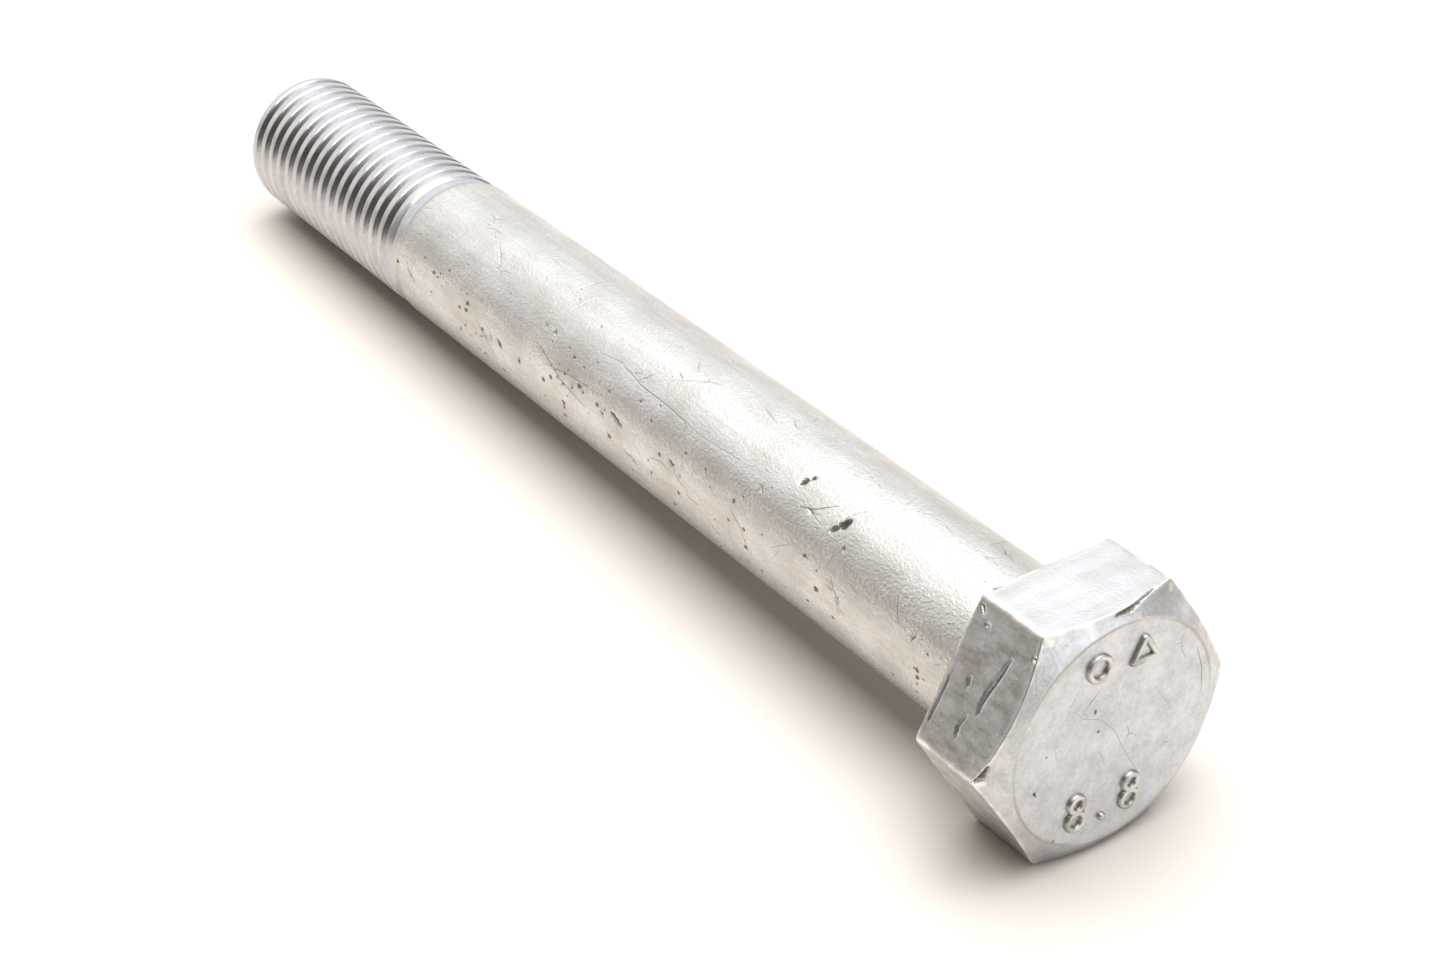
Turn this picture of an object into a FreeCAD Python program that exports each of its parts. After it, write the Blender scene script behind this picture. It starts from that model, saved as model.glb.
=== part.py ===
import FreeCAD, Part
import math
import os

# Hex head bolt, M24 x 200, partly threaded, cold forged with a rolled right-hand thread.
#
# Frame: millimetres. The origin is the centre of the bearing face, the plane under the head that
# presses on the clamped part. +X runs along the axis out through the head, the shank runs along -X,
# and +Z is square to a pair of the head's flats, so two corners of the hexagon point along Y.
#
# The bolt is one forging. Each node is one zone of it, worked by its own tool, and neighbouring
# zones meet on a shared flat face with no gap and no overlap.

# Driving dimensions
shank_diameter = 24.0
nominal_length = 200.0         # bearing face to point
thread_pitch = 3.0
across_flats = 35.2
head_height = 14.5             # bearing face to the flat top, washer face included
washer_face_height = 0.8
washer_face_diameter = 33.4
head_face_diameter = 32.1      # flat circle that the corner chamfer leaves on the head
corner_chamfer_angle = 30.0    # degrees, from the plane of the head's top
underhead_radius = 1.2         # fillet between the bearing face and the shank
plain_length = 145.0           # bearing face to the end of the full shank
runout_length = 3.0            # blank between the full shank and the first thread
neck_diameter = 23.1           # short neck between the shank and the first groove
point_chamfer_angle = 45.0
point_face_diameter = 18.4
mark_height = 0.4              # raised marks stand this far above the head's top
mark_stroke = 0.8
digit_height = 5.6
digit_row_z = -10.1            # middle of the row of figures
left_digit_y = -5.6
dot_y = -1.2
right_digit_y = 3.2
dot_radius = 0.56
digit_row_tilt = -3.0          # degrees, the row was pressed a little askew
ring_y = -3.0
ring_z = 11.0
ring_radius = 2.1
triangle_y = 4.2
triangle_z = 10.5
triangle_radius = 2.9          # centre to corner

# Thread form, from the ISO metric 60 degree profile
crest_radius = shank_diameter / 2
root_radius = crest_radius - 0.6134 * thread_pitch
flank_slope = math.tan(math.radians(30))
root_flat = thread_pitch / 6
groove_clearance = 0.2         # the groove tool stands this far outside the crest
point_clearance = 0.2          # the point's disc stands this far outside the root
skirt_clearance = 1.0          # the corner cone's tool stands this far outside the corners

# Values that follow
shank_radius = shank_diameter / 2
flare_radius = shank_radius + underhead_radius
neck_radius = neck_diameter / 2
thread_start = plain_length + runout_length
point_radius = point_face_diameter / 2
point_slope = math.tan(math.radians(point_chamfer_angle))
point_chamfer_start = nominal_length - (crest_radius - point_radius) / point_slope
point_disc_radius = root_radius + point_clearance
point_disc_start = nominal_length - (point_disc_radius - point_radius) / point_slope
chamfer_slope = math.tan(math.radians(corner_chamfer_angle))
corner_radius = across_flats / math.sqrt(3)

AXIS = FreeCAD.Vector(1, 0, 0)
ORIGIN = FreeCAD.Vector(0, 0, 0)


def turned(outline):
    """A solid turned about X from an outline of (x, radius) points and edges in the XZ half plane."""
    return Part.Face(Part.Wire(outline)).revolve(ORIGIN, AXIS, 360)


def at(x, radius):
    """A point of a turned outline."""
    return FreeCAD.Vector(x, 0, radius)


def lines(*points):
    """Straight edges from each point to the next."""
    return [Part.LineSegment(a, b).toShape() for a, b in zip(points, points[1:])]


def hex_head():
    """A hexagonal prism whose corners are cut by a cone round the axis, down from the top circle."""
    corners = []
    for i in range(7):
        angle = math.radians(60 * i)
        y = corner_radius * math.cos(angle)
        z = corner_radius * math.sin(angle)
        corners.append(FreeCAD.Vector(washer_face_height, y, z))
    height = head_height - washer_face_height
    prism = Part.Face(Part.makePolygon(corners)).extrude(FreeCAD.Vector(height, 0, 0))
    face_radius = head_face_diameter / 2
    skirt_radius = corner_radius + skirt_clearance
    skirt_x = head_height - (skirt_radius - face_radius) * chamfer_slope
    envelope = turned(lines(
        at(washer_face_height, 0),
        at(head_height, 0),
        at(head_height, face_radius),
        at(skirt_x, skirt_radius),
        at(washer_face_height, skirt_radius),
        at(washer_face_height, 0),
    ))
    return prism.common(envelope)


def washer_face():
    """The low round pad under the hexagon: its ring-shaped face bears on the clamped part."""
    return turned(lines(
        at(0, flare_radius),
        at(0, washer_face_diameter / 2),
        at(washer_face_height, washer_face_diameter / 2),
        at(washer_face_height, flare_radius),
        at(0, flare_radius),
    ))


def underhead_fillet():
    """The root of the shank: its rim flares in a quarter circle and ends inside the washer face."""
    bend = underhead_radius * (1 - math.sqrt(0.5))
    rim = Part.Arc(
        at(-underhead_radius, shank_radius),
        at(-bend, shank_radius + bend),
        at(0, flare_radius),
    ).toShape()
    sides = lines(
        at(0, flare_radius),
        at(washer_face_height, flare_radius),
        at(washer_face_height, 0),
        at(-underhead_radius, 0),
        at(-underhead_radius, shank_radius),
    )
    return turned([rim] + sides)


def plain_shank():
    """The full-diameter length that fits the clearance hole."""
    length = plain_length - underhead_radius
    start = FreeCAD.Vector(-plain_length, 0, 0)
    return Part.makeCylinder(shank_radius, length, start, AXIS)


def thread_runout():
    """The step from the full shank down to the thread blank."""
    step = shank_radius - neck_radius
    return turned(lines(
        at(-plain_length, 0),
        at(-plain_length, shank_radius),
        at(-plain_length - step, neck_radius),
        at(-thread_start, neck_radius),
        at(-thread_start, 0),
        at(-plain_length, 0),
    ))


def groove_turn():
    """One turn of the thread's groove about Z: a trapezium carried round a right-hand helix."""
    outer = crest_radius + groove_clearance
    root_half = root_flat / 2
    outer_half = root_half + (outer - root_radius) * flank_slope
    section = Part.makePolygon([
        FreeCAD.Vector(root_radius, 0, -root_half),
        FreeCAD.Vector(outer, 0, -outer_half),
        FreeCAD.Vector(outer, 0, outer_half),
        FreeCAD.Vector(root_radius, 0, root_half),
        FreeCAD.Vector(root_radius, 0, -root_half),
    ])
    helix = Part.makeHelix(thread_pitch, thread_pitch, root_radius)
    return Part.Wire(helix.Edges).makePipeShell([section], True, True)


def rolled_thread():
    """The threaded length, grooved one turn after another and cut back by the point's chamfer."""
    blank = turned(lines(
        at(-thread_start, 0),
        at(-thread_start, crest_radius),
        at(-point_chamfer_start, crest_radius),
        at(-point_disc_start, point_disc_radius),
        at(-point_disc_start, 0),
        at(-thread_start, 0),
    ))
    turn = groove_turn()
    turn.rotate(ORIGIN, FreeCAD.Vector(0, 1, 0), -90)
    first_x = -thread_start + thread_pitch / 2
    turns = math.ceil((point_disc_start - thread_start) / thread_pitch) + 1
    threaded = blank
    for i in range(turns):
        groove = turn.copy()
        groove.translate(FreeCAD.Vector(first_x - i * thread_pitch, 0, 0))
        threaded = threaded.cut(groove)
    return threaded


def chamfered_point():
    """The end of the bolt below the thread's root, tapering to the flat end face."""
    return turned(lines(
        at(-point_disc_start, 0),
        at(-point_disc_start, point_disc_radius),
        at(-nominal_length, point_radius),
        at(-nominal_length, 0),
        at(-point_disc_start, 0),
    ))


def raised(y, z, radius, bore=0.0):
    """A disc, or a ring if it has a bore, standing on the head's top at (y, z)."""
    base = FreeCAD.Vector(head_height, y, z)
    disc = Part.makeCylinder(radius, mark_height, base, AXIS)
    if bore > 0:
        disc = disc.cut(Part.makeCylinder(bore, mark_height, base, AXIS))
    return disc


def figure_eight(y, z):
    """Two rings, one over the other, sharing a stroke."""
    loop = (digit_height + mark_stroke) / 4
    reach = (digit_height - mark_stroke) / 4
    upper = raised(y, z + reach, loop, loop - mark_stroke)
    lower = raised(y, z - reach, loop, loop - mark_stroke)
    return upper.fuse(lower).removeSplitter()


def strength_mark():
    """The strength class as raised figures along the lower edge of the head's top."""
    dot_z = digit_row_z - (digit_height - mark_stroke) / 2
    row = Part.makeCompound([
        figure_eight(left_digit_y, digit_row_z),
        raised(dot_y, dot_z, dot_radius),
        figure_eight(right_digit_y, digit_row_z),
    ])
    row.rotate(FreeCAD.Vector(0, 0, digit_row_z), AXIS, digit_row_tilt)
    return row


def triangle(radius):
    """An upright triangular prism standing on the head's top, radius from its centre to a corner."""
    corners = []
    for i in range(4):
        angle = math.radians(90 + 120 * i)
        y = triangle_y + radius * math.cos(angle)
        z = triangle_z + radius * math.sin(angle)
        corners.append(FreeCAD.Vector(head_height, y, z))
    return Part.Face(Part.makePolygon(corners)).extrude(AXIS * mark_height)


def maker_mark():
    """A plain ring and a plain triangle along the upper edge of the head's top."""
    ring = raised(ring_y, ring_z, ring_radius, ring_radius - mark_stroke)
    outline = triangle(triangle_radius).cut(triangle(triangle_radius - 2 * mark_stroke))
    return Part.makeCompound([ring, outline])


nodes = [
    hex_head,
    washer_face,
    underhead_fillet,
    plain_shank,
    thread_runout,
    rolled_thread,
    chamfered_point,
    strength_mark,
    maker_mark,
]

os.makedirs("parts", exist_ok=True)
for make in nodes:
    shape = make()
    shape.exportStep("parts/" + make.__name__ + ".step")
    print(make.__name__, "valid" if shape.isValid() else "INVALID", "solids", len(shape.Solids),
          "volume", round(shape.Volume, 2))
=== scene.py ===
import math

import bpy
import numpy as np
from mathutils import Matrix, Vector


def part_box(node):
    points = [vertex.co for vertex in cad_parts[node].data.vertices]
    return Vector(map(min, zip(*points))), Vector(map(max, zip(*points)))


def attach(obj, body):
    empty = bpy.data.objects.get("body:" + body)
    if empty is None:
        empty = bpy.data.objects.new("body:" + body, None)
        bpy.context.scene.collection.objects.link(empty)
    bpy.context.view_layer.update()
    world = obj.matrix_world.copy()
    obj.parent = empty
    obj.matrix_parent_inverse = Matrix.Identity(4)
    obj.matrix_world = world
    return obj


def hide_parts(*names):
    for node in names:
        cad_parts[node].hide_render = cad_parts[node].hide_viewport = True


# A hex head bolt in zinc-plated steel. Lengths are in millimetres in the surface formulas and turn into
# metres when a mesh is made. x runs along the bolt's axis, out through the head; the shank runs along -x.

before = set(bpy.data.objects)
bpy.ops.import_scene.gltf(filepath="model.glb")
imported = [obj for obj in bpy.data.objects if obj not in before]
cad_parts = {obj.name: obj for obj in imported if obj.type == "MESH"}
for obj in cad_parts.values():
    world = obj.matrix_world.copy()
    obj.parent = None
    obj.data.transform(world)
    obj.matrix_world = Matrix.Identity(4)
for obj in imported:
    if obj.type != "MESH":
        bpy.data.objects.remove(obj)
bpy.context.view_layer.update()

MM = 0.001


def node_box(name):
    """A node's lowest and highest corners in millimetres."""
    low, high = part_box(name)
    return np.array(low) / MM, np.array(high) / MM


# Sizes read from the frame
head_low, head_high = node_box("hex_head")
HEAD_TOP = head_high[0]
HEAD_BACK = head_low[0]
APOTHEM = head_high[2]
PAD_RADIUS = node_box("washer_face")[1][2]
SHANK_RADIUS = node_box("plain_shank")[1][2]
SHANK_END = node_box("plain_shank")[0][0]
SHANK_START = node_box("plain_shank")[1][0]
THREAD_START = node_box("rolled_thread")[1][0]
THREAD_END = node_box("rolled_thread")[0][0]
POINT_END = node_box("chamfered_point")[0][0]
MARK_TOP = node_box("strength_mark")[1][0]

# Sizes of the finer forms
FACE_RADIUS = 16.0             # edge of the flat circle on the head
CORNER_CHAMFER = math.tan(math.radians(30))
PITCH = 3.0
GROOVE_SHARE = 0.50            # how much of the pitch the rolled groove takes
GROOVE_DEPTH = 1.0
CREST_RADIUS = 11.88
NECK_RADIUS = 11.55            # the blank between the shank and the first groove
POINT_SLOPE = 1.0              # radius gained per length along the point's chamfer
POINT_RADIUS = 9.2
GROOVE_SOFTNESS = 0.08         # how far the groove's edges and floor are rounded, in groove depths
POINT_BLEND = 0.22             # how far the chamfer and the thread blend into each other
CORNER_POWER = 75              # the higher, the sharper the hexagon's corners
DISH_DEPTH = 0.12              # of the flat circle on the head
GOUGE_DEPTH = 0.32
NICK_DEPTH = 0.30
HEAD_SETBACK = 0.10            # keeps the waviness inside the nominal size
SHANK_SETBACK = 0.025
SHANK_BEVEL = 0.3


# ---------------------------------------------------------------- noise and marks

def value_noise(points, cell, seed):
    """Smooth noise from -1 to 1: random values on a cubic grid of that cell, blended by a smoothstep
    in each direction. points is (..., 3) in millimetres."""
    random = np.random.default_rng(seed).uniform(-1, 1, (64, 64, 64))
    scaled = points / cell + 1000.37
    base = np.floor(scaled).astype(int)
    part = scaled - base
    part = part * part * (3 - 2 * part)
    total = np.zeros(points.shape[:-1])
    for corner in range(8):
        offset = np.array([corner & 1, corner >> 1 & 1, corner >> 2])
        share = np.prod(np.where(offset == 1, part, 1 - part), axis=-1)
        i, j, k = np.moveaxis((base + offset) % 64, -1, 0)
        total += share * random[i, j, k]
    return total


def smooth_step(low, high, value):
    """0 below low, 1 above high, and 3t^2 - 2t^3 between."""
    t = np.clip((value - low) / (high - low), 0, 1)
    return t * t * (3 - 2 * t)


def mark_field(u, v, marks):
    """Marks on a surface laid out flat, where u and v are in millimetres. Each mark is a path of (u, v)
    and a half width, which tapers to both ends by a sine. For every point this gives the signed distance
    across the nearest path, the distance past its ends, and its half width, which turns negative away
    from the mark: a mark is where the half width exceeds the length of the first two. It also gives how
    deep the point lies in the mark, 0 at the rim and 1 in the middle."""
    across = np.full(u.shape, 9.0)
    beyond = np.zeros(u.shape)
    half = np.full(u.shape, -1.0)
    nearest = np.full(u.shape, 1e9)
    for path, width in marks:
        runs = len(path) - 1
        for n, (start, end) in enumerate(zip(path, path[1:])):
            du, dv = end[0] - start[0], end[1] - start[1]
            length = math.hypot(du, dv)
            along = ((u - start[0]) * du + (v - start[1]) * dv) / length
            side = ((u - start[0]) * dv - (v - start[1]) * du) / length
            past = np.maximum(np.maximum(-along, along - length), 0)
            gap = np.hypot(side, past)
            way = (n + np.clip(along / length, 0, 1)) / runs
            here = width * (0.4 + 0.6 * np.sin(math.pi * np.clip(way, 0.03, 0.97)))
            closer = gap < nearest
            nearest = np.where(closer, gap, nearest)
            across = np.where(closer, side, across)
            beyond = np.where(closer, past, beyond)
            half = np.where(closer, np.where(gap < width + 0.8, here, -1.0), half)
    depth = smooth_step(0, 1, 1 - nearest / np.maximum(half, 0.05)) * (half > 0.12)
    return np.stack([across, beyond, half], -1), depth


def stray_scratches(seed, count, u_range, v_range, longest, slant):
    """Fine scratches scattered over a region laid out flat: bent lines of three points, each at an angle
    to the u direction drawn from a normal spread of that many degrees."""
    random = np.random.default_rng(seed)
    made = []
    for _ in range(count):
        u, v = random.uniform(*u_range), random.uniform(*v_range)
        turn = math.radians(random.normal(0, slant))
        reach = longest * random.uniform(0.12, 1.0) ** 2 + 0.5
        bow = random.normal(0, 0.08) * reach
        du, dv = math.cos(turn), math.sin(turn)
        middle = (u + du * reach / 2 - dv * bow, v + dv * reach / 2 + du * bow)
        made.append(([(u, v), middle, (u + du * reach, v + dv * reach)], random.uniform(0.06, 0.13)))
    return made


# ---------------------------------------------------------------- meshes

def make_piece(name, points, faces, nodes, attributes=None):
    """A mesh object from points in millimetres, riding on the root body in place of its CAD nodes."""
    mesh = bpy.data.meshes.new(name)
    mesh.from_pydata((points * MM).tolist(), [], faces)
    for key, values in (attributes or {}).items():
        kind, field = ("FLOAT_VECTOR", "vector") if np.ndim(values) == 2 else ("FLOAT", "value")
        layer = mesh.attributes.new(key, kind, "POINT")
        layer.data.foreach_set(field, np.ascontiguousarray(values, np.float32).reshape(-1))
    mesh.polygons.foreach_set("use_smooth", [True] * len(mesh.polygons))
    mesh.update()
    piece = bpy.data.objects.new(name, mesh)
    bpy.context.scene.collection.objects.link(piece)
    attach(piece, "root")
    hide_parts(*nodes)
    return piece


def turned_skin(rings):
    """Points and faces of a closed skin from rings of points, (rings, columns, 3). The first and last
    rings are at a pole and become one point each; columns close round the axis. The faces look
    outward where the rings advance along -x and the columns turn right-handed about +x."""
    count, columns = rings.shape[:2]
    body = rings[1:-1].reshape(-1, 3)
    points = np.vstack([rings[0, :1], body, rings[-1, :1]])
    last = len(points) - 1
    ring = np.arange(columns)
    following = (ring + 1) % columns
    faces = [(0, int(1 + a), int(1 + b)) for a, b in zip(ring, following)]
    start = 1 + np.arange(count - 3)[:, None] * columns
    quads = np.stack([start + ring, start + columns + ring, start + columns + following,
                      start + following], -1).reshape(-1, 4)
    faces += [tuple(q) for q in quads.tolist()]
    end = 1 + (count - 3) * columns
    faces += [(last, int(end + b), int(end + a)) for a, b in zip(ring, following)]
    return points, faces


def weld(points, faces):
    """The same skin with points that coincide made one, and the faces that lose their area dropped."""
    keys = np.round(points, 5)
    unique, inverse = np.unique(keys, axis=0, return_inverse=True)
    inverse = inverse.reshape(-1)
    kept = []
    for face in faces:
        loop = []
        for v in face:
            w = int(inverse[v])
            if w not in loop:
                loop.append(w)
        if len(loop) > 2:
            kept.append(tuple(loop))
    return unique, kept


def spaced(*stops):
    """Values from stop to stop, each stop given as (value, steps to the next)."""
    values = []
    for (here, steps), (there, _) in zip(stops, stops[1:]):
        values += list(here + (there - here) * np.arange(steps) / steps)
    return np.array(values + [stops[-1][0]])


# ---------------------------------------------------------------- hex head

def hexagon_radius(angle):
    """The hexagon's radius at an angle from +y, flats square to z: the apothem over a high power mean
    of the six flats' cosines, which rounds each corner a little."""
    total = np.zeros_like(angle)
    for n in range(6):
        facing = np.maximum(np.cos(angle - math.radians(30 + 60 * n)), 0)
        total += facing ** CORNER_POWER
    return APOTHEM * total ** (-1 / CORNER_POWER)


def head_columns(per_flat):
    """Angles round the head, crowded towards the six corners by a sine."""
    t = np.linspace(-1, 1, per_flat, endpoint=False)
    sector = np.radians(30) * np.sin(t * math.pi / 2)
    return np.concatenate([np.radians(30 + 60 * n) + sector for n in range(6)])


def hex_head():
    """Rings run from the middle of the top, out over the flat circle, down the corner chamfer to the
    hexagon's edge, down the flats, and in under the head: x is the lower of the top and the cone."""
    angle = head_columns(80)
    outer = hexagon_radius(angle)
    edge_x = HEAD_TOP - (outer - FACE_RADIUS) * CORNER_CHAMFER
    rows = []
    for r in spaced((0.0, 30), (14.4, 14), (FACE_RADIUS, 0)):
        rows.append((np.full_like(angle, r), np.full_like(angle, HEAD_TOP)))
    for t in spaced((0.05, 24), (1.0, 0)):
        r = FACE_RADIUS + (outer - FACE_RADIUS) * t
        rows.append((r, HEAD_TOP - (r - FACE_RADIUS) * CORNER_CHAMFER))
    for t in spaced((0.012, 8), (0.1, 40), (0.9, 8), (1.0, 0)):
        rows.append((outer, edge_x + (HEAD_BACK - edge_x) * t))
    for t in spaced((0.01, 6), (0.12, 6), (1.0, 0)):
        rows.append((outer + (SHANK_RADIUS - outer) * t, np.full_like(angle, HEAD_BACK)))
    rows.append((np.zeros_like(angle), np.full_like(angle, HEAD_BACK)))
    radius = np.array([r for r, _ in rows])
    x = np.array([v for _, v in rows])
    for _ in range(2):
        radius[1:-1] = (radius[:-2] + 2 * radius[1:-1] + radius[2:]) / 4
        x[1:-1] = (x[:-2] + 2 * x[1:-1] + x[2:]) / 4
    rings = np.stack([x, radius * np.cos(angle), radius * np.sin(angle)], -1)
    rings[0] = rings[0].mean(0)
    rings[-1] = rings[-1].mean(0)
    return rings


# Marks on the head, as paths of (across, along) on a surface laid out flat, each with a half width
SIDE_GOUGES = [                # (height up the head, place along the flat from its lower corner)
    ([(9.2, 15.6), (9.0, 14.2), (8.7, 12.6), (8.2, 10.5), (8.0, 8.9), (8.1, 7.6)], 0.42),
    ([(6.6, 6.4), (6.2, 4.8), (6.6, 3.4)], 0.26),
    ([(12.7, 17.4), (12.1, 17.2)], 0.35),
    ([(12.9, 2.9), (12.4, 1.4), (11.8, 0.3)], 0.62),
    ([(1.9, 11.6), (1.75, 7.7), (1.65, 4.5), (1.7, 1.2)], 0.16),
    ([(1.3, 19.4), (2.4, 18.2)], 0.35),
    ([(3.2, 17.4), (4.4, 17.0)], 0.20),
    ([(4.6, 11.0), (4.9, 9.4)], 0.22),
]
FACE_SCRATCHES = [             # (y, z) on the top of the head
    ([(-6.9, 6.4), (-5.0, 4.3), (-2.2, 2.9), (0.2, 0.2), (1.5, -2.6), (3.2, -5.9), (4.9, -8.9)], 0.08),
    ([(-0.4, 5.2), (-2.0, 3.0)], 0.05),
    ([(6.3, 4.4), (9.6, -0.6)], 0.05),
    ([(-9.6, 2.6), (-8.7, -1.6)], 0.05),
    ([(13.0, 7.6), (14.2, 3.6), (14.5, -0.4)], 0.12),
    ([(-12.4, -3.5), (-12.1, -4.3)], 0.30),
]
TOP_EDGE_NICKS = [             # (x, y) on the upper flat
    ([(13.8, 0.0), (13.75, 2.0), (13.2, 4.3), (12.4, 7.0)], 0.34),
    ([(1.0, -8.6), (0.9, -7.6)], 0.25),
]


def worn_head():
    """The head with its forged waviness and gouges, both moves along the normal. Its attributes say where
    the marks are, which edges are worn bright (real wear, and a painted highlight on the rounded edges),
    where the plate is stained (the circle's rim, and the upper flat, whose back and far edges are
    darkened further as painted shade), and which faces the smudges leave out: the smudges are partly
    painted shade, so the top faces stay lit and the sides darken."""
    rings = hex_head()
    across = np.gradient(rings, axis=0)
    around = np.roll(rings, -1, axis=1) - np.roll(rings, 1, axis=1)
    normal = np.cross(around, across)
    size = np.linalg.norm(normal, axis=-1, keepdims=True)
    normal = normal / np.maximum(size, 1e-9)
    normal[0] = (1, 0, 0)
    normal[-1] = (-1, 0, 0)
    outward = np.sum(normal * (rings - [HEAD_TOP / 2, 0, 0]), axis=-1, keepdims=True)
    normal = normal * np.sign(outward + 1e-12)
    x, y, z = np.moveaxis(rings, -1, 0)
    reach = np.hypot(y, z)

    wave = 0.035 * value_noise(rings, 6.0, 1) + 0.02 * value_noise(rings, 2.2, 2)
    streaks = 0.016 * value_noise(rings * [1.0, 0.18, 0.18], 1.1, 3)
    on_top = smooth_step(HEAD_TOP - 0.3, HEAD_TOP, x) * smooth_step(FACE_RADIUS + 0.1, FACE_RADIUS, reach)
    dish = -DISH_DEPTH * smooth_step(15.6, 13.8, reach) * on_top

    along_left = 0.5 * y + 0.866 * z + APOTHEM / math.sqrt(3)
    left_flat = (-0.866 * y + 0.5 * z > APOTHEM - 1.0) & (on_top < 0.5)
    top_flat = (z > APOTHEM - 1.0) & (on_top < 0.5)
    mark = np.zeros(rings.shape)
    mark[..., 2] = -1
    depth = np.zeros(x.shape)
    side_scratches = stray_scratches(21, 26, (1, 13), (-60, 60), 5.0, 60)
    face_scratches = stray_scratches(22, 14, (-14, 13), (-14, 14), 4.0, 70)
    rest = (on_top < 0.5) & (reach > PAD_RADIUS) & ~left_flat & ~top_flat
    girth = APOTHEM * np.arctan2(z, y)
    for region, u, v, marks, core in ((left_flat, x, along_left, SIDE_GOUGES, 0.6),
                                      (top_flat, x, y, TOP_EDGE_NICKS, 0.9),
                                      (rest, x, girth, side_scratches, 1.0),
                                      (on_top > 0.5, y, z, FACE_SCRATCHES + face_scratches, 0.8)):
        field, deep = mark_field(u, v, marks)
        field[..., 2] = np.where(field[..., 2] > 0, field[..., 2] * core, -1)
        mark = np.where(region[..., None], field, mark)
        depth = np.where(region, deep, depth)

    offset = wave + streaks * (1 - on_top) - HEAD_SETBACK + dish - GOUGE_DEPTH * depth
    rings = rings + normal * offset[..., None]
    rings[0] = rings[0].mean(0)
    rings[-1] = rings[-1].mean(0)

    corner = np.abs(((np.arctan2(z, y) / math.radians(60)) + 0.5) % 1 - 0.5) * 60
    shoulder = np.abs(x - (HEAD_TOP - (reach - FACE_RADIUS) * CORNER_CHAMFER)) + np.abs(
        reach - hexagon_radius(np.arctan2(z, y)))
    # Edges worn bright: real wear, and a painted highlight along the rounded corners and edges
    ridge_line = np.maximum(smooth_step(2.2, 0.3, corner) * (reach > APOTHEM + 1.2),
                            smooth_step(0.55, 0.1, shoulder))
    back_edge = smooth_step(0.7, 0.1, x - HEAD_BACK) * (reach > PAD_RADIUS)
    rim = smooth_step(0.35, 0.05, np.abs(reach - FACE_RADIUS + 0.15)) * (x > HEAD_TOP - 0.6)
    rim = rim * smooth_step(-0.35, 0.3, value_noise(rings, 7.0, 5))
    # A patchy stain on the upper flat, darkened further at its back edge and far edges: painted shade
    stain_and_edge_shade = 0.26 + 0.22 * value_noise(rings * [1.0, 0.12, 1.0], 0.9, 6) + 0.16 * value_noise(rings, 3.0, 7)
    stain_and_edge_shade = np.maximum(stain_and_edge_shade, 0.75 * smooth_step(1.0, 0.3, x - HEAD_BACK))
    stain_and_edge_shade = np.maximum(stain_and_edge_shade, 0.55 * smooth_step(9.2, 10.0, np.abs(y)) * (x < HEAD_TOP - 1.5))
    rim = np.maximum(rim, np.clip(stain_and_edge_shade, 0, 1) * top_flat)

    # Where the smudges are left off: the top face, the upper flat and the chamfer, so the top stays lit and
    # the sides get painted shade
    cone_gap = np.abs(x - (HEAD_TOP - (reach - FACE_RADIUS) * CORNER_CHAMFER))
    unshaded_top = np.maximum(np.maximum(on_top, 0.9 * top_flat), 0.7 * smooth_step(0.7, 0.3, cone_gap))

    def flat_list(values):
        return np.concatenate([values[0, :1], values[1:-1].reshape(-1, *values.shape[2:]), values[-1, :1]])

    points, faces = turned_skin(rings)
    return make_piece("hex_head_forging", points, faces, ["hex_head"],
                      {"mark": flat_list(mark), "edge": flat_list(np.maximum(ridge_line, back_edge)),
                       "rim": flat_list(rim), "unshaded_top": flat_list(unshaded_top)})


# ---------------------------------------------------------------- shank, runout, thread, point

def turned_rings(x, radius, columns):
    """Rings of points for a turned form, closed by a pole on the axis at each end."""
    angle = np.linspace(0, 2 * math.pi, columns, endpoint=False)
    x = np.concatenate([[x[0]], x, [x[-1]]])
    radius = np.concatenate([[0], radius, [0]])
    rings = np.zeros((len(x), columns, 3))
    rings[..., 0] = x[:, None]
    rings[..., 1] = radius[:, None] * np.cos(angle)
    rings[..., 2] = radius[:, None] * np.sin(angle)
    return rings


def turned_piece(name, x, radius, columns, nodes):
    """A turned piece whose outline runs from its head end to its point end."""
    points, faces = turned_skin(turned_rings(x, radius, columns))
    return make_piece(name, points, faces, nodes)


def washer_pad():
    """The pad under the head, its rim rounded by a quarter circle."""
    round_off = 0.25
    bend = np.radians(np.linspace(0, 90, 7))
    rim_r = PAD_RADIUS - round_off + round_off * np.cos(bend)
    rim_x = round_off - round_off * np.sin(bend)
    x = np.concatenate([[HEAD_BACK, HEAD_BACK], rim_x, [0.0]])
    radius = np.concatenate([[SHANK_RADIUS, PAD_RADIUS], rim_r, [SHANK_RADIUS]])
    return turned_piece("washer_pad", x, radius, 192, ["washer_face"])


def shank_root():
    """The quarter circle from the bearing face down to the shank."""
    bend = np.radians(np.linspace(0, 90, 11))
    radius = SHANK_RADIUS - SHANK_START * (1 - np.sin(bend))
    x = SHANK_START * (1 - np.cos(bend))
    x = np.concatenate([[HEAD_BACK], x])
    radius = np.concatenate([[radius[0]], radius])
    return turned_piece("shank_root", x, radius, 192, ["underhead_fillet"])


def on_shank(*path):
    """A path of (x, degrees above the -y side) as (x, arc length) on the shank laid out flat."""
    return [(x, SHANK_RADIUS * math.radians(degrees)) for x, degrees in path]


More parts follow.
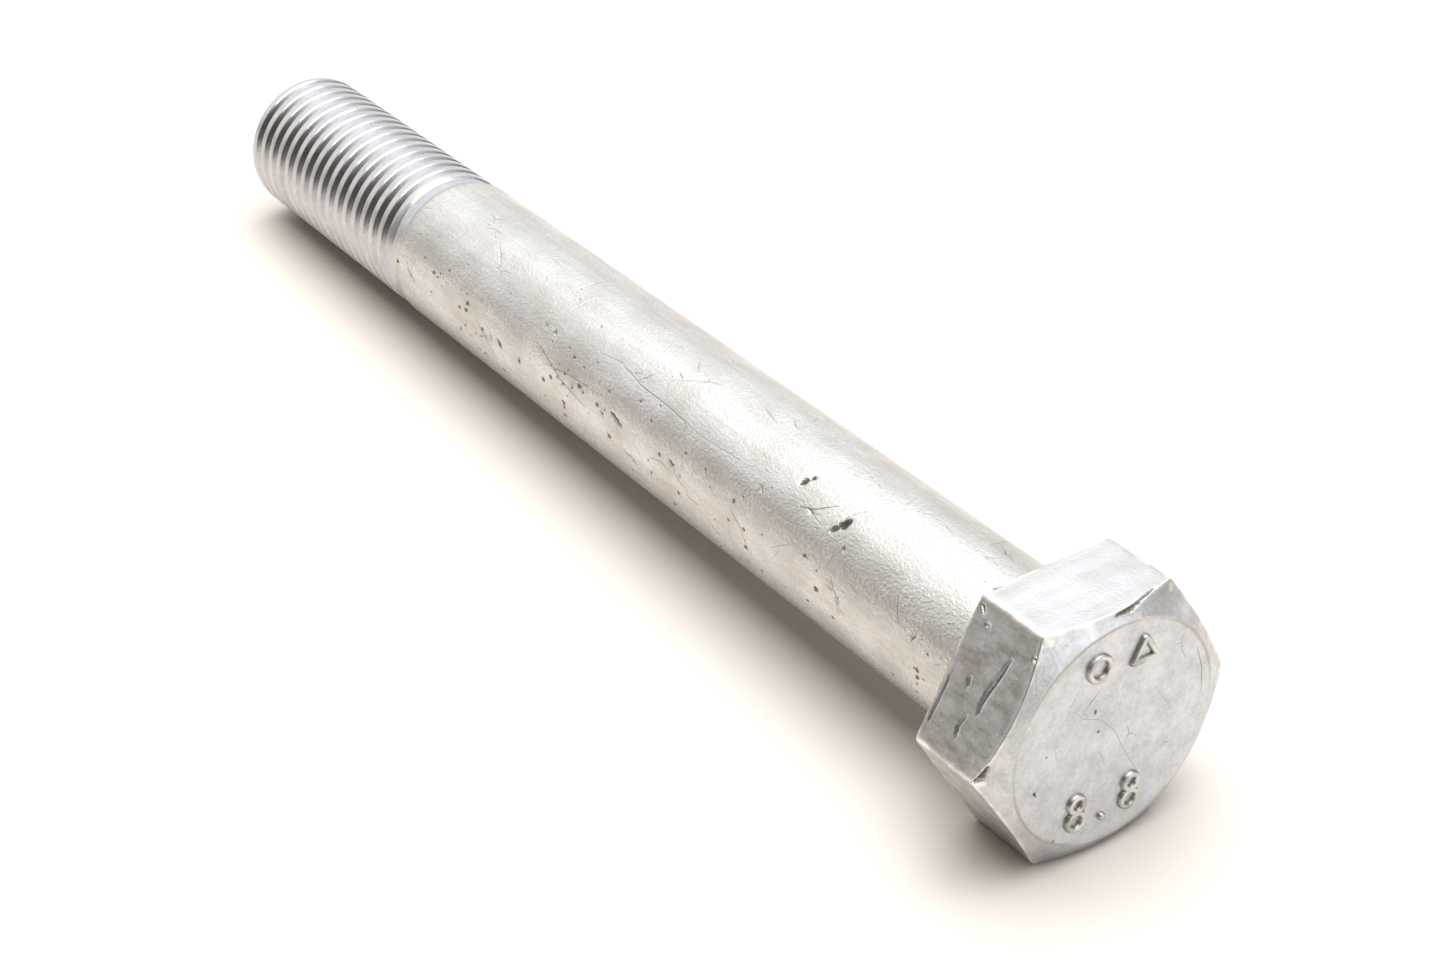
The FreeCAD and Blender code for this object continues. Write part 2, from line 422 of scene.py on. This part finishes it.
SHANK_MARKS = [
    (on_shank((-31.9, 44.0), (-31.0, 50.0)), 0.45),
    (on_shank((-31.1, 49.5), (-30.3, 56.0)), 1.15),
    (on_shank((-41.4, 58.0), (-41.0, 61.5)), 0.80),
    (on_shank((-40.6, 64.2), (-40.4, 66.0)), 0.60),
    (on_shank((-47.5, 42.0), (-46.6, 39.5), (-45.7, 36.0)), 0.17),
    (on_shank((-48.6, 42.5), (-48.0, 39.5)), 0.10),
    (on_shank((-28.4, 42.0), (-28.0, 38.0)), 0.14),
    (on_shank((-23.35, 62.5), (-23.3, 62.3)), 0.16),
    (on_shank((-81.4, 19.0), (-79.8, 17.0), (-78.1, 14.0)), 0.26),
    (on_shank((-84.0, 15.0), (-82.8, 12.0)), 0.14),
    (on_shank((-66.0, 17.0), (-64.3, 13.5)), 0.22),
    (on_shank((-70.4, -2.5), (-70.2, -4.5)), 0.24),
    (on_shank((-76.3, 38.5), (-76.1, 37.6)), 0.26),
    (on_shank((-93.4, 35.5), (-93.2, 34.2)), 0.26),
    (on_shank((-93.9, -4.4), (-93.7, -6.2)), 0.34),
    (on_shank((-93.2, 64.6), (-92.8, 63.4)), 0.26),
    (on_shank((-99.9, 42.0), (-99.6, 39.6)), 0.22),
    (on_shank((-102.5, 41.6), (-102.3, 40.6)), 0.30),
    (on_shank((-106.7, 7.0), (-106.3, 3.0)), 0.34),
    (on_shank((-113.0, 9.0), (-111.6, 4.0)), 0.30),
    (on_shank((-56.0, 91.3), (-55.8, 90.7)), 0.22),
    (on_shank((-65.6, 74.0), (-65.2, 69.0)), 0.10),
    (on_shank((-74.6, 71.0), (-72.4, 67.5)), 0.13),
    (on_shank((-10.8, 27.0), (-10.9, 23.0), (-11.3, 18.0)), 0.18),
    (on_shank((-27.2, 14.0), (-25.8, 9.0), (-25.9, 5.0)), 0.10),
    (on_shank((-12.9, 102.0), (-13.6, 114.0), (-14.6, 127.0)), 0.08),
    (on_shank((-16.8, 104.0), (-16.0, 114.0)), 0.06),
    (on_shank((-51.0, 100.0), (-52.2, 112.0)), 0.06),
    (on_shank((-88.6, 49.0), (-84.0, 52.0), (-78.0, 47.0), (-71.0, 46.5), (-62.0, 43.5),
              (-53.0, 46.0)), 0.12),
    (on_shank((-100.0, 17.0), (-94.0, 22.0), (-86.0, 24.0), (-76.0, 28.0)), 0.12),
    (on_shank((-108.0, 30.0), (-101.0, 26.0), (-95.0, 15.0), (-88.0, 9.0)), 0.12),
]


def shank():
    """The drawn shank: a cylinder with a slow waviness and nicks that die out at both ends, and a quarter
    ellipse rounding its edge at the neck. The rim attribute lays a grey-brown band broken by noise beside
    the neck: painted shade at the step down to the neck."""
    x = spaced((SHANK_START, 440), (SHANK_END + 0.5, 10), (SHANK_END, 0))
    shoulder = np.maximum(SHANK_END + 0.5 - x, 0) / 0.5
    rings = turned_rings(x, SHANK_RADIUS - SHANK_BEVEL * (1 - np.sqrt(1 - shoulder ** 2)), 216)
    inside = rings[1:-1]
    fade = smooth_step(SHANK_START, SHANK_START - 4, inside[..., 0])
    fade = fade * smooth_step(SHANK_END, SHANK_END + 4, inside[..., 0])
    stretched = inside * [0.3, 1, 1]
    wave = 0.012 * value_noise(stretched, 5.0, 11) + 0.007 * value_noise(stretched, 1.6, 12)
    arc = SHANK_RADIUS * np.arctan2(rings[..., 2], -rings[..., 1])
    arc[0] = arc[-1] = 0
    girth = math.pi * SHANK_RADIUS
    scratches = stray_scratches(23, 200, (SHANK_END + 1, SHANK_START - 5), (-girth, girth), 8.0, 45)
    mark, depth = mark_field(rings[..., 0], arc, SHANK_MARKS + scratches)
    outward = inside * [0, 1 / SHANK_RADIUS, 1 / SHANK_RADIUS]
    inside += outward * ((wave - SHANK_SETBACK - NICK_DEPTH * depth[1:-1]) * fade)[..., None]
    points, faces = turned_skin(rings)
    mark = np.concatenate([mark[0, :1], mark[1:-1].reshape(-1, 3), mark[-1, :1]])
    # Painted shade: a grey-brown band at the shank's end, where the step down to the neck is shaded
    step_shade = smooth_step(1.6, 0.0, points[:, 0] - SHANK_END)
    step_shade = step_shade * smooth_step(-0.4, 0.4, value_noise(points, 6.0, 13))
    return make_piece("drawn_shank", points, faces, ["plain_shank"],
                      {"mark": mark, "rim": step_shade})


def thread_radius(x, turn):
    """The radius of the threaded end at x and a turn about the axis, counted from 0 to 1.
    Along a right-hand helix the phase is constant. The groove is a V between broad crests, both
    rounded by soft minimum and maximum. It deepens from the blank over the first turn, and a cone cuts
    the point."""
    phase = (THREAD_START - x) / PITCH - turn
    swing = np.abs((phase + 0.5) % 1 - 0.5) * 2
    ramp = 1 - swing / GROOVE_SHARE
    groove = GROOVE_SOFTNESS * np.logaddexp(0, ramp / GROOVE_SOFTNESS)
    groove -= GROOVE_SOFTNESS * np.logaddexp(0, (groove - 0.92) / GROOVE_SOFTNESS)
    grown = smooth_step(-0.45 * PITCH, 0.5 * PITCH, THREAD_START - x)
    formed = NECK_RADIUS + (CREST_RADIUS - NECK_RADIUS) * grown - GROOVE_DEPTH * groove * grown
    cone = POINT_RADIUS + (x - POINT_END) * POINT_SLOPE
    formed = -POINT_BLEND * np.logaddexp(-formed / POINT_BLEND, -cone / POINT_BLEND)
    step = SHANK_RADIUS - SHANK_BEVEL - (SHANK_END - x) * 0.8
    return np.maximum(formed, step)


def helical_piece(name, start, end, columns, per_pitch, nodes):
    """A stretch of the threaded end between two cross planes. The grid's rows follow the helix, so
    crests and roots stay on grid lines, and rows that pass a plane are clipped to it."""
    turn = np.arange(columns + 1) / columns
    rows = int(math.ceil((start - end) / PITCH * per_pitch)) + per_pitch + 1
    x = start + PITCH - PITCH / per_pitch * np.arange(rows)[:, None] - PITCH * turn[None, :]
    x = np.clip(x, end, start)
    radius = thread_radius(x, turn[None, :])
    angle = -turn * 2 * math.pi
    grid = np.stack([x, radius * np.cos(angle), radius * np.sin(angle)], -1)
    points = np.vstack([grid.reshape(-1, 3), [(start, 0, 0), (end, 0, 0)]])
    index = np.arange(rows * (columns + 1)).reshape(rows, columns + 1)
    quads = np.stack([index[:-1, :-1], index[:-1, 1:], index[1:, 1:], index[1:, :-1]], -1)
    faces = [tuple(q) for q in quads.reshape(-1, 4).tolist()]
    top, bottom = len(points) - 2, len(points) - 1
    faces += [(top, int(index[0, i + 1]), int(index[0, i])) for i in range(columns)]
    faces += [(bottom, int(index[-1, i]), int(index[-1, i + 1])) for i in range(columns)]
    points, faces = weld(points, faces)
    return make_piece(name, points, faces, nodes)


head = worn_head()
pad = washer_pad()
root = shank_root()
body = shank()
neck = helical_piece("runout_neck", SHANK_END, THREAD_START, 240, 24, ["thread_runout"])
thread = helical_piece("rolled_thread_turns", THREAD_START, THREAD_END, 216, 20, ["rolled_thread"])
point = helical_piece("point_end", THREAD_END, POINT_END, 216, 24, ["chamfered_point"])


# ---------------------------------------------------------------- raised marks

def ridge(centre_line, width, height, base):
    """A raised stroke: a flattened ellipse carried round a closed flat path of (y, z), its foot sunk
    a little into the head's top."""
    line = np.array(centre_line, float)
    ahead = np.roll(line, -1, 0) - np.roll(line, 1, 0)
    ahead /= np.linalg.norm(ahead, axis=1, keepdims=True)
    side = np.stack([-ahead[:, 1], ahead[:, 0]], -1)
    bend = np.linspace(0, 2 * math.pi, 20, endpoint=False)
    across = np.sign(np.cos(bend)) * np.abs(np.cos(bend)) ** 0.8 * width / 2
    up = np.where(np.sin(bend) > 0, np.abs(np.sin(bend)) ** 0.8 * height, np.sin(bend) * 0.2)
    flat = line[:, None] + side[:, None] * across[None, :, None]
    points = np.concatenate([np.broadcast_to(base + up, flat.shape[:2])[..., None], flat], -1)
    rows, around = points.shape[:2]
    index = np.arange(rows * around).reshape(rows, around)
    ahead_row = np.roll(index, -1, 0)
    quads = np.stack([index, np.roll(index, -1, 1), np.roll(ahead_row, -1, 1), ahead_row], -1)
    return points.reshape(-1, 3), [tuple(q) for q in quads.reshape(-1, 4).tolist()]


def circle(y, z, radius_y, radius_z, count=56):
    """Points round an ellipse."""
    turn = np.linspace(0, 2 * math.pi, count, endpoint=False)
    return np.stack([y + radius_y * np.cos(turn), z + radius_z * np.sin(turn)], -1)


def rounded_triangle(y, z, size, count=72):
    """Points round a triangle whose corners are rounded: the radius is a high power mean of the three
    sides' cosines."""
    turn = np.linspace(0, 2 * math.pi, count, endpoint=False)
    total = np.zeros(count)
    for n in range(3):
        total += np.maximum(np.cos(turn - math.radians(-90 + 120 * n)), 0) ** 9
    reach = size * total ** (-1 / 9)
    return np.stack([y + reach * np.cos(turn), z + reach * np.sin(turn)], -1)


def mark_piece(name, strokes, nodes, tilt=0.0, about=(0.0, 0.0)):
    """Several ridges as one piece, turned by a small tilt about a point of the face."""
    all_points, all_faces = [], []
    count = 0
    for line, width, height in strokes:
        points, faces = ridge(line, width, height, MARK_BASE)
        all_points.append(points)
        all_faces += [tuple(v + count for v in face) for face in faces]
        count += len(points)
    points = np.vstack(all_points)
    c, s = math.cos(math.radians(tilt)), math.sin(math.radians(tilt))
    y = points[:, 1] - about[0]
    z = points[:, 2] - about[1]
    points[:, 1] = about[0] + c * y - s * z
    points[:, 2] = about[1] + s * y + c * z
    # Painted highlight: the ridge tops are mixed lighter
    crown = smooth_step(0.75, 0.98, (points[:, 0] - MARK_BASE) / RAISE)
    return make_piece(name, points, all_faces, nodes, {"edge": 0.9 * crown})


MARK_BASE = HEAD_TOP - 0.28
RAISE = MARK_TOP - MARK_BASE - 0.02
STROKE = 0.95
ROW = -10.1
strength = []
for place in (-5.6, 3.2):
    strength.append((circle(place, ROW + 1.3, 1.05, 1.05), STROKE, RAISE))
    strength.append((circle(place, ROW - 1.25, 1.25, 1.2), STROKE, RAISE))
strength.append((circle(-1.2, ROW - 2.3, 0.2, 0.2), 0.75, RAISE))
figures = mark_piece("strength_figures", strength, ["strength_mark"], -3, (0.0, ROW))
shapes = mark_piece("maker_shapes", [(circle(-3.0, 11.0, 1.6, 1.6), STROKE, RAISE),
                                     (rounded_triangle(4.2, 10.5, 1.15), STROKE, RAISE)], ["maker_mark"])


# ---------------------------------------------------------------- materials

def linear(hex_colour):
    """An sRGB hex colour as linear red, green, blue and alpha 1."""
    channels = [int(hex_colour[i:i + 2], 16) / 255 for i in (1, 3, 5)]
    return tuple(c / 12.92 if c <= 0.04045 else ((c + 0.055) / 1.055) ** 2.4 for c in channels) + (1.0,)


def add(tree, kind, inputs=None, ramp=None, **settings):
    """Adds a node: settings are its own properties, inputs are socket values or links, and ramp is a
    colour ramp's list of (place, hex colour)."""
    made = tree.nodes.new(kind)
    for key, value in settings.items():
        setattr(made, key, value)
    if ramp:
        while len(made.color_ramp.elements) < len(ramp):
            made.color_ramp.elements.new(0.5)
        for element, (place, colour) in zip(made.color_ramp.elements, ramp):
            element.position = place
            element.color = linear(colour)
    for socket, value in (inputs or {}).items():
        if isinstance(value, bpy.types.NodeSocket):
            tree.links.new(value, made.inputs[socket])
        else:
            made.inputs[socket].default_value = value
    return made


# Smudge colour: real grime, and painted shade on the head's sides
SMUDGE_AND_SHADE = "#8A806A"
PIT = "#8E7F66"
# Stain colour, also painted shade at the upper flat's back and far edges and at the shank's step
STAIN_AND_SHADE = "#A79F8E"
# Rubbed edges: real wear, and a painted highlight on the head's rounded edges and the marks' crowns
RUBBED_AND_HIGHLIGHT = "#F2F0E9"
SHALLOW_DIRT = "#726A5E"
DEEP_DIRT = "#2B2722"


def zinc_plate(name, tones, gloss, blotch_mm, stretch, grain_mm, grain_depth, pits, streaks, pull):
    """Electroplated zinc on steel: a soft grey-white metal. tones are its dark, middle and light
    colours; gloss its least and greatest roughness; blotch_mm the size of the cloudy patches and
    stretch how far they are drawn out along the axis; grain_mm and grain_depth the size and height of
    the fine grain; pits how plentiful those are, and streaks how strong the grey smudges are, both from
    0 to 1; pull how far the smudges are drawn out along the axis. On the head the smudges are partly
    painted shade: they are left off its top faces, so the sides read darker."""
    material = bpy.data.materials.new(name)
    material.use_nodes = True
    tree = material.node_tree
    tree.nodes.clear()
    place = add(tree, "ShaderNodeTexCoord").outputs["Object"]
    drawn = add(tree, "ShaderNodeMapping", {"Vector": place, "Scale": (1 / stretch, 1, 1)}).outputs[0]
    blotch = add(tree, "ShaderNodeTexNoise", {"Vector": drawn, "Scale": 1 / (blotch_mm * MM),
                                             "Detail": 5.0, "Roughness": 0.55}).outputs["Fac"]
    grain = add(tree, "ShaderNodeTexNoise", {"Vector": drawn, "Scale": 1 / (grain_mm * MM),
                                            "Detail": 3.0, "Roughness": 0.6}).outputs["Fac"]
    cloud = add(tree, "ShaderNodeMix", {0: 0.42, 2: blotch, 3: grain}, data_type="FLOAT").outputs[0]
    tone = add(tree, "ShaderNodeValToRGB", {"Fac": cloud},
               ramp=[(0.38, tones[0]), (0.5, tones[1]), (0.62, tones[2])]).outputs["Color"]

    # Smudges drawn out a little along the axis: real grime, and on the head painted shade, as they are
    # left off its top faces so the top reads lit and the sides darker
    unshaded_top = add(tree, "ShaderNodeAttribute", attribute_name="unshaded_top").outputs["Fac"]
    lined = add(tree, "ShaderNodeMapping", {"Vector": place, "Scale": (1 / pull, 1, 1)}).outputs[0]
    streak = add(tree, "ShaderNodeTexNoise", {"Vector": lined, "Scale": 1 / (1.5 * MM), "Detail": 6.0,
                                             "Roughness": 0.7}).outputs["Fac"]
    shade = add(tree, "ShaderNodeMapRange", {"Value": streak, "From Min": 0.35, "From Max": 0.62,
                                             "To Min": 0.66 * streaks, "To Max": 0.0}).outputs[0]
    # Painted shade: on the head the smudges darken the sides and are left off the top faces
    smudge_and_shade_mask = add(tree, "ShaderNodeMath", {0: 1.0, 1: unshaded_top}, operation="SUBTRACT").outputs[0]
    shade = add(tree, "ShaderNodeMath", {0: shade, 1: smudge_and_shade_mask}, operation="MULTIPLY").outputs[0]
    tone = add(tree, "ShaderNodeMix", {0: shade, 6: tone, 7: linear(SMUDGE_AND_SHADE)}, data_type="RGBA").outputs[2]

    # Pits: small ragged spots in some of the cells, dull brown where the plate is broken, most of them
    # low on the bolt and few along its top
    cell = add(tree, "ShaderNodeTexVoronoi", {"Vector": drawn, "Scale": 1 / (1.2 * MM)})
    chosen = add(tree, "ShaderNodeSeparateColor", {0: cell.outputs["Color"]})
    size = add(tree, "ShaderNodeMapRange", {"Value": chosen.outputs[0], "From Min": 1 - 0.8 * pits,
                                            "From Max": 1.0, "To Min": 0.0, "To Max": 0.38}).outputs[0]
    worn = add(tree, "ShaderNodeTexNoise", {"Vector": place, "Scale": 1 / (14 * MM),
                                           "Detail": 2.0}).outputs["Fac"]
    patchy = add(tree, "ShaderNodeMapRange", {"Value": worn, "From Min": 0.36, "From Max": 0.54}).outputs[0]
    size = add(tree, "ShaderNodeMath", {0: size, 1: patchy}, operation="MULTIPLY").outputs[0]
    ragged = add(tree, "ShaderNodeMapRange", {"Value": grain, "From Min": 0.3, "From Max": 0.7,
                                              "To Min": 0.5, "To Max": 1.3}).outputs[0]
    size = add(tree, "ShaderNodeMath", {0: size, 1: ragged}, operation="MULTIPLY").outputs[0]
    raised = add(tree, "ShaderNodeSeparateXYZ", {0: place}).outputs["Z"]
    thinned_upward = add(tree, "ShaderNodeMapRange", {"Value": raised, "From Min": 5 * MM, "From Max": 9 * MM,
                                              "To Min": 1.0, "To Max": 0.45}).outputs[0]
    size = add(tree, "ShaderNodeMath", {0: size, 1: thinned_upward}, operation="MULTIPLY").outputs[0]
    inside = add(tree, "ShaderNodeMath", {0: size, 1: cell.outputs["Distance"]},
                 operation="SUBTRACT").outputs[0]
    pit = add(tree, "ShaderNodeMapRange", {"Value": inside, "From Min": 0.0, "From Max": 0.06}).outputs[0]

    # Named marks: where the half width exceeds the distance from the mark's line
    field = add(tree, "ShaderNodeSeparateXYZ",
                {0: add(tree, "ShaderNodeAttribute", attribute_name="mark").outputs["Vector"]})
    flat = add(tree, "ShaderNodeCombineXYZ", {0: field.outputs[0], 1: field.outputs[1]}).outputs[0]
    gap = add(tree, "ShaderNodeVectorMath", {0: flat}, operation="LENGTH").outputs["Value"]
    width = add(tree, "ShaderNodeMath", {0: field.outputs[2], 1: ragged}, operation="MULTIPLY").outputs[0]
    depth = add(tree, "ShaderNodeMath", {0: width, 1: gap}, operation="SUBTRACT").outputs[0]
    mark = add(tree, "ShaderNodeMapRange", {"Value": depth, "From Min": -0.04, "From Max": 0.14,
                                            "To Max": 0.88}).outputs[0]
    dirt = add(tree, "ShaderNodeMapRange", {"Value": depth, "From Max": 0.5}).outputs[0]
    dirt = add(tree, "ShaderNodeValToRGB", {"Fac": dirt}, ramp=[(0.1, SHALLOW_DIRT), (1.0, DEEP_DIRT)])
    dirt = dirt.outputs["Color"]

    # The colours laid over each other: plate, pits, stains and painted shade, rubbed edges and painted
    # highlights, and dirt in the marks
    colour = add(tree, "ShaderNodeMix", {0: pit, 6: tone, 7: linear(PIT)}, data_type="RGBA").outputs[2]
    # Stains, and painted shade on the upper flat's edges and at the shank's step
    rim = add(tree, "ShaderNodeAttribute", attribute_name="rim").outputs["Fac"]
    rim = add(tree, "ShaderNodeMath", {0: rim, 1: 0.8}, operation="MULTIPLY").outputs[0]
    colour = add(tree, "ShaderNodeMix", {0: rim, 6: colour, 7: linear(STAIN_AND_SHADE)}, data_type="RGBA").outputs[2]
    # Rubbed edges: real wear, and painted highlights on rounded edges and the marks' crowns
    edge = add(tree, "ShaderNodeAttribute", attribute_name="edge").outputs["Fac"]
    patchy_wear_and_highlight = add(tree, "ShaderNodeMapRange", {"Value": blotch, "From Min": 0.42, "From Max": 0.58,
                                              "To Min": 0.2, "To Max": 0.85}).outputs[0]
    bright = add(tree, "ShaderNodeMath", {0: edge, 1: patchy_wear_and_highlight}, operation="MULTIPLY").outputs[0]
    colour = add(tree, "ShaderNodeMix", {0: bright, 6: colour, 7: linear(RUBBED_AND_HIGHLIGHT)},
                 data_type="RGBA").outputs[2]
    colour = add(tree, "ShaderNodeMix", {0: mark, 6: colour, 7: dirt}, data_type="RGBA").outputs[2]

    rough = add(tree, "ShaderNodeMapRange", {"Value": cloud, "From Min": 0.38, "From Max": 0.62,
                                             "To Min": gloss[1], "To Max": gloss[0]}).outputs[0]
    broken_plate = add(tree, "ShaderNodeMath", {0: pit, 1: mark}, operation="MAXIMUM").outputs[0]
    rough = add(tree, "ShaderNodeMix", {0: broken_plate, 2: rough, 3: 0.7}, data_type="FLOAT").outputs[0]
    pressed = add(tree, "ShaderNodeBump", {"Height": broken_plate, "Distance": -0.06 * MM,
                                           "Strength": 1.0}).outputs[0]
    bump = add(tree, "ShaderNodeBump", {"Height": grain, "Distance": grain_depth * MM, "Strength": 1.0,
                                        "Normal": pressed}).outputs[0]
    shader = add(tree, "ShaderNodeBsdfPrincipled", {"Base Color": colour, "Metallic": 1.0,
                                                    "Roughness": rough, "Normal": bump})
    add(tree, "ShaderNodeOutputMaterial", {"Surface": shader.outputs[0]})
    return material


# Zinc over a hot-forged head: cloudy and dull, with the scale's grain under a pale blue passivation
forged_zinc = zinc_plate("zinc_plate_on_forged_steel", ("#BEBFC3", "#C8CACE", "#D2D4D9"), (0.31, 0.44),
                         2.6, 1.0, 0.5, 0.04, 0.02, 1.0, 2.2)
# Zinc over cold-drawn bar: a satin sheen, fine grain drawn out along the axis, storage pits and scratches
drawn_zinc = zinc_plate("zinc_plate_on_drawn_steel", ("#C1BFBB", "#CDCBC9", "#D8D7D5"), (0.24, 0.33),
                        5.0, 1.5, 0.38, 0.095, 1.0, 0.32, 16.0)
# Zinc over a rolled thread: the dies leave it smooth and bright
rolled_zinc = zinc_plate("zinc_plate_on_rolled_thread", ("#C3C5CB", "#CDCED2", "#D7D8DA"), (0.16, 0.22),
                         4.0, 1.0, 0.8, 0.01, 0.0, 0.0, 1.0)

for made, finish in ((head, forged_zinc), (pad, forged_zinc), (figures, forged_zinc), (shapes, forged_zinc),
                     (root, drawn_zinc), (body, drawn_zinc),
                     (neck, rolled_zinc), (thread, rolled_zinc), (point, rolled_zinc)):
    made.data.materials.append(finish)


# ---------------------------------------------------------------- floor, light and camera

def floor_height(x):
    """The floor under the bolt at rest: it touches the lower flat beside the bearing face and the
    thread's underside near the point, so it rises a little towards the point."""
    rise = (APOTHEM - SHANK_RADIUS) / (HEAD_BACK - (POINT_END + 2.8))
    return -APOTHEM + (HEAD_BACK - x) * rise - 0.02


def make_floor():
    """A large flat sheet through the two places where the bolt rests."""
    reach = 3000.0
    corners = [(x * reach, y * reach, floor_height(x * reach))
               for x, y in ((-1, -1), (1, -1), (1, 1), (-1, 1))]
    mesh = bpy.data.meshes.new("studio_floor")
    mesh.from_pydata([(x * MM, y * MM, z * MM) for x, y, z in corners], [], [(0, 1, 2, 3)])
    mesh.update()
    floor = bpy.data.objects.new("studio_floor", mesh)
    bpy.context.scene.collection.objects.link(floor)
    material = bpy.data.materials.new("studio_floor_paper")
    material.use_nodes = True
    shader = material.node_tree.nodes["Principled BSDF"]
    shader.inputs["Base Color"].default_value = linear("#D0CAC3")
    shader.inputs["Roughness"].default_value = 0.7
    mesh.materials.append(material)


def make_world():
    """A pale room as a ramp on the direction's cosine with the way to its bright wall, which is above
    and beyond the point on the +y side. The side opposite falls to dusk, warm where it is in front of the
    bolt, and the low sky is dimmer. Behind the point the room is up to twice as bright, and a pale
    glow in front of the head lights its corner chamfers."""
    world = bpy.data.worlds.new("studio")
    bpy.context.scene.world = world
    world.use_nodes = True
    tree = world.node_tree
    tree.nodes.clear()
    way = add(tree, "ShaderNodeTexCoord").outputs["Generated"]
    axes = add(tree, "ShaderNodeSeparateXYZ", {0: way})
    towards = add(tree, "ShaderNodeVectorMath", {0: way, 1: (-0.5, 0.55, 0.67)},
                  operation="DOT_PRODUCT").outputs["Value"]
    half = add(tree, "ShaderNodeMapRange", {"Value": towards, "From Min": -1.0, "From Max": 1.0}).outputs[0]
    side = add(tree, "ShaderNodeValToRGB", {"Fac": half},
               ramp=[(0.375, "#48453F"), (0.46, "#6E6962"), (0.53, "#96918B"), (0.565, "#929090"),
                     (0.61, "#A9A9A9"), (0.675, "#CFCFCF"), (0.775, "#DEDEDF"), (0.9, "#E5E6E7")])
    side = side.outputs["Color"]
    low = add(tree, "ShaderNodeMapRange", {"Value": axes.outputs["Z"], "From Min": 0.1, "From Max": 0.75,
                                           "To Min": 1.0, "To Max": 0.0}).outputs[0]
    bright = add(tree, "ShaderNodeMapRange", {"Value": half, "From Min": 0.65, "From Max": 0.8,
                                              "To Min": 0.0, "To Max": 0.35}).outputs[0]
    dim = add(tree, "ShaderNodeMath", {0: low, 1: bright}, operation="MULTIPLY").outputs[0]
    level = add(tree, "ShaderNodeMath", {0: 1.0, 1: dim}, operation="SUBTRACT").outputs[0]
    along, across, up = axes.outputs["X"], axes.outputs["Y"], axes.outputs["Z"]
    behind = add(tree, "ShaderNodeMapRange", {"Value": along, "From Min": -0.55, "From Max": 0.0,
                                              "To Min": 2.0, "To Max": 1.0}).outputs[0]
    strength = add(tree, "ShaderNodeMath", {0: level, 1: behind}, operation="MULTIPLY").outputs[0]

    # A dim skirt low on the +y side, and warm dusk on the -y side, both left out behind the point
    skirt = add(tree, "ShaderNodeMapRange", {"Value": up, "From Min": 0.2, "From Max": 0.5,
                                             "To Min": 0.25, "To Max": 1.0}).outputs[0]
    near = add(tree, "ShaderNodeMapRange", {"Value": along, "From Min": -0.55, "From Max": -0.3}).outputs[0]
    beyond = add(tree, "ShaderNodeMapRange", {"Value": across, "From Min": -0.1, "From Max": 0.2}).outputs[0]
    beyond = add(tree, "ShaderNodeMath", {0: near, 1: beyond}, operation="MULTIPLY").outputs[0]
    skirt = add(tree, "ShaderNodeMix", {0: beyond, 2: 1.0, 3: skirt}, data_type="FLOAT").outputs[0]
    strength = add(tree, "ShaderNodeMath", {0: strength, 1: skirt}, operation="MULTIPLY").outputs[0]
    away = add(tree, "ShaderNodeMapRange", {"Value": across, "From Min": -0.3, "From Max": 0.1,
                                            "To Min": 1.0, "To Max": 0.0}).outputs[0]
    warm = add(tree, "ShaderNodeMath", {0: near, 1: away}, operation="MULTIPLY").outputs[0]
    raised = add(tree, "ShaderNodeMapRange", {"Value": up, "From Min": 0.2, "From Max": 0.45}).outputs[0]
    warm = add(tree, "ShaderNodeMath", {0: warm, 1: raised}, operation="MULTIPLY").outputs[0]
    side = add(tree, "ShaderNodeMix", {0: warm, 6: side, 7: linear("#A88432")}, data_type="RGBA",
               blend_type="MULTIPLY").outputs[2]
    room = add(tree, "ShaderNodeBackground", {"Color": side, "Strength": strength}).outputs[0]

    ahead = add(tree, "ShaderNodeVectorMath", {0: way, 1: (0.90, 0.30, 0.32)},
                operation="DOT_PRODUCT").outputs["Value"]
    glow = add(tree, "ShaderNodeMapRange", {"Value": ahead, "From Min": 0.84, "From Max": 0.93,
                                            "To Min": 0.0, "To Max": 2.1}).outputs[0]
    front = add(tree, "ShaderNodeBackground", {"Strength": glow}).outputs[0]
    both = add(tree, "ShaderNodeAddShader", {0: room, 1: front}).outputs[0]
    add(tree, "ShaderNodeOutputWorld", {"Surface": both})


def make_softbox():
    """A square softbox straight above the bolt, facing down. The bolt sees it reach 27 degrees to each
    side, which sets how the shadow beside the shank softens, and it is high so the floor is evenly lit."""
    height = 2400.0
    half_angle = math.radians(27)
    lamp = bpy.data.lights.new("overhead_softbox", "AREA")
    lamp.shape = "SQUARE"
    lamp.size = 2 * height * math.tan(half_angle) * MM
    lamp.energy = 98.0
    rig = bpy.data.objects.new("overhead_softbox", lamp)
    bpy.context.scene.collection.objects.link(rig)
    rig.location = Vector((SHANK_END / 2, 67.0, height)) * MM


def make_camera():
    """The camera looks down along the bolt from beyond the head."""
    place = Vector((206.1, -184.2, 204.0))
    ahead = Vector((-0.7024, 0.4687, -0.5357)).normalized()
    roll = math.radians(1.7)
    camera = bpy.data.cameras.new("camera")
    camera.lens = 67.46
    camera.sensor_width = 36.0
    camera.clip_end = 100
    rig = bpy.data.objects.new("camera", camera)
    bpy.context.scene.collection.objects.link(rig)
    turn = ahead.to_track_quat("-Z", "Y").to_matrix().to_4x4() @ Matrix.Rotation(-roll, 4, "Z")
    rig.matrix_world = Matrix.Translation(place * MM) @ turn
    bpy.context.scene.camera = rig


make_floor()
make_world()
make_softbox()
make_camera()
bpy.context.scene.view_settings.view_transform = "Standard"
